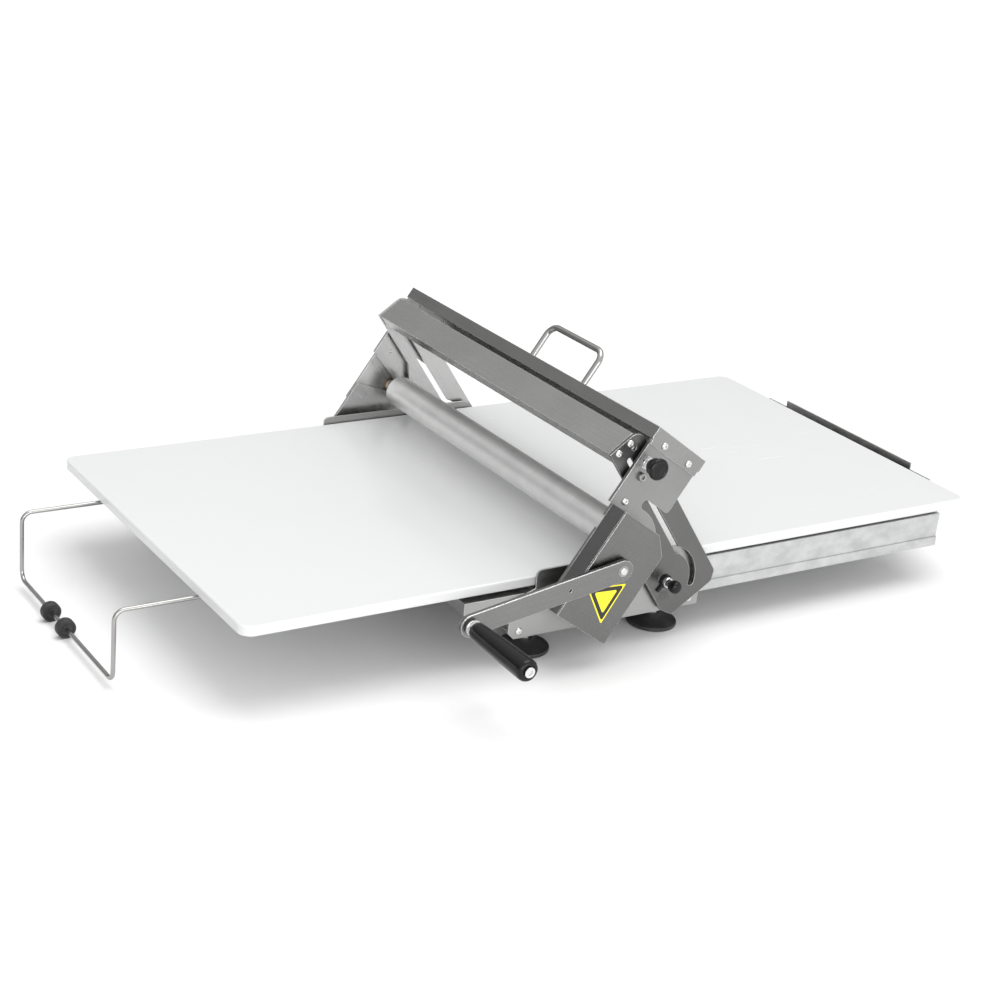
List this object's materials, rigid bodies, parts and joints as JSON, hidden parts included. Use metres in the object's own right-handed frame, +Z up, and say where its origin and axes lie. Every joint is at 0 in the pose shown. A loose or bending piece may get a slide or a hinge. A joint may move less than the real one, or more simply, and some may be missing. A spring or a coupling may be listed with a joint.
{
  "type": "dough sheeter",
  "caption": "Hand-cranked bench dough sheeter: a sliding plastic board passes under a geared roller held by a tilting stainless frame with a lift handle.",
  "frame": {"origin": "on the table under the middle of the bounding box", "axes": "+X along the board to the pull-out plate, +Y away from the crank, +Z up"},
  "size_m": [1.143, 0.6948, 0.2891],
  "materials": {
    "board_white": "satin polyethylene",
    "stainless": "brushed sheet",
    "tray_steel": "dull rolled sheet",
    "roller_metal": "satin turned",
    "rod_steel": "drawn rod",
    "bright_fastener": "bright",
    "gear_steel": "machined",
    "bronze_bush": "machined",
    "black_plastic": "moulded gloss",
    "black_rubber": "moulded matt",
    "guide_plastic": "machined acetal"
  },
  "bodies": {
    "base": {"near_side_panel": "stainless", "far_side_panel": "stainless", "base_tie_bars": "stainless", "tie_bar_screws": "bright_fastener", "near_tray_rail": "tray_steel", "far_tray_rail": "tray_steel", "tray_pan": "tray_steel", "left_shelf": "stainless", "rubber_feet": "black_rubber", "foot_studs": "bright_fastener", "idler_bushes": "guide_plastic", "strut_hub_studs": "bright_fastener", "pivot_spacers": "guide_plastic", "carrier_pivot_studs": "bright_fastener", "wire_guides": "guide_plastic", "extension_guides": "guide_plastic", "hub_knob_spindle": "bright_fastener", "gap_pointer": "stainless"},
    "board": {"dough_board": "board_white"},
    "left_idler": {"left_idler_roller": "roller_metal"},
    "right_idler": {"right_idler_roller": "roller_metal"},
    "strut_frame": {"near_strut_plate": "stainless", "far_strut_plate": "stainless", "strut_crossbar": "stainless", "strut_bar_screws": "bright_fastener"},
    "carrier": {"near_carrier_plate": "stainless", "far_carrier_plate": "stainless", "carrier_crossbar": "stainless", "carrier_bar_screws": "bright_fastener", "lift_handle": "rod_steel", "handle_nuts": "bright_fastener", "gear_housing": "stainless", "gear_cover": "stainless", "cover_posts": "stainless", "cover_screws": "bright_fastener", "near_bearing_plate": "stainless", "far_bearing_plate": "stainless", "bearing_plate_screws": "bright_fastener", "roller_bushes": "bronze_bush", "crank_bushes": "bronze_bush", "index_plunger_body": "bright_fastener", "guide_studs": "bright_fastener"},
    "roller": {"dough_roller": "roller_metal", "roller_end_plugs": "roller_metal", "roller_shaft": "gear_steel", "shaft_collars": "gear_steel", "roller_gear": "gear_steel"},
    "crank": {"crank_gear": "gear_steel", "crank_shaft": "gear_steel", "crank_arm": "stainless", "crank_screw": "bright_fastener", "grip_spindle": "bright_fastener"},
    "grip": {"crank_grip": "black_plastic"},
    "index_plunger": {"index_plunger_pin": "gear_steel", "index_plunger_knob": "black_plastic"},
    "hub_knob": {"hub_clamp_knob": "black_plastic"},
    "wire": {"wire_support": "rod_steel"},
    "inner_wheel": {"inner_support_wheel": "black_rubber"},
    "outer_wheel": {"outer_support_wheel": "black_rubber"},
    "extension": {"extension_plate": "stainless"}
  },
  "joints": [
    {"name": "board_slide", "type": "slide", "parent": "base", "child": "board", "axis": [1, 0, 0], "range_m": [-0.45, 0.018]},
    {"name": "left_idler_spin", "type": "hinge", "parent": "base", "child": "left_idler", "pos_m": [-0.03, 0.07205, 0.0817], "axis": [0, 1, 0], "range_deg": [-1850, 80]},
    {"name": "right_idler_spin", "type": "hinge", "parent": "base", "child": "right_idler", "pos_m": [0.018, 0.07205, 0.0817], "axis": [0, 1, 0], "range_deg": [-1850, 80]},
    {"name": "carrier_tilt", "type": "hinge", "parent": "base", "child": "carrier", "pos_m": [-0.07218, 0.07205, 0.06998], "axis": [0, -1, 0], "range_deg": [-11.5, 8]},
    {"name": "strut_swing", "type": "hinge", "parent": "base", "child": "strut_frame", "pos_m": [0.063, 0.07205, 0.078], "axis": [0, -1, 0], "range_deg": [-6.1, 4.26]},
    {"name": "crank_turn", "type": "hinge", "parent": "carrier", "child": "crank", "pos_m": [-0.03375, -0.23045, 0.12419], "axis": [0, 1, 0], "continuous": true},
    {"name": "roller_spin", "type": "hinge", "parent": "carrier", "child": "roller", "pos_m": [-0.006, 0.07205, 0.1434], "axis": [0, 1, 0], "continuous": true},
    {"name": "grip_spin", "type": "hinge", "parent": "crank", "child": "grip", "pos_m": [-0.2281, -0.29045, 0.09201], "axis": [0, 1, 0], "continuous": true},
    {"name": "index_push", "type": "slide", "parent": "carrier", "child": "index_plunger", "axis": [0, 1, 0], "range_m": [0, 0.004]},
    {"name": "hub_knob_turn", "type": "hinge", "parent": "base", "child": "hub_knob", "pos_m": [0.063, -0.20295, 0.078], "axis": [0, 1, 0], "range_deg": [-60, 60]},
    {"name": "wire_slide", "type": "slide", "parent": "base", "child": "wire", "axis": [1, 0, 0], "range_m": [0, 0.33]},
    {"name": "inner_wheel_spin", "type": "hinge", "parent": "wire", "child": "inner_wheel", "pos_m": [-0.5605, 0.07105, 0.011], "axis": [0, 1, 0], "continuous": true},
    {"name": "outer_wheel_spin", "type": "hinge", "parent": "wire", "child": "outer_wheel", "pos_m": [-0.5605, 0.11605, 0.011], "axis": [0, 1, 0], "continuous": true},
    {"name": "extension_slide", "type": "slide", "parent": "base", "child": "extension", "axis": [1, 0, 0], "range_m": [0, 0.18]}
  ],
  "couplings": [
    {"joint": "left_idler_spin", "follows": "board_slide", "rad_per_m": 71.429},
    {"joint": "right_idler_spin", "follows": "board_slide", "rad_per_m": 71.429},
    {"joint": "strut_swing", "follows": "carrier_tilt", "ratio": 0.526},
    {"joint": "roller_spin", "follows": "crank_turn", "ratio": -0.8}
  ]
}
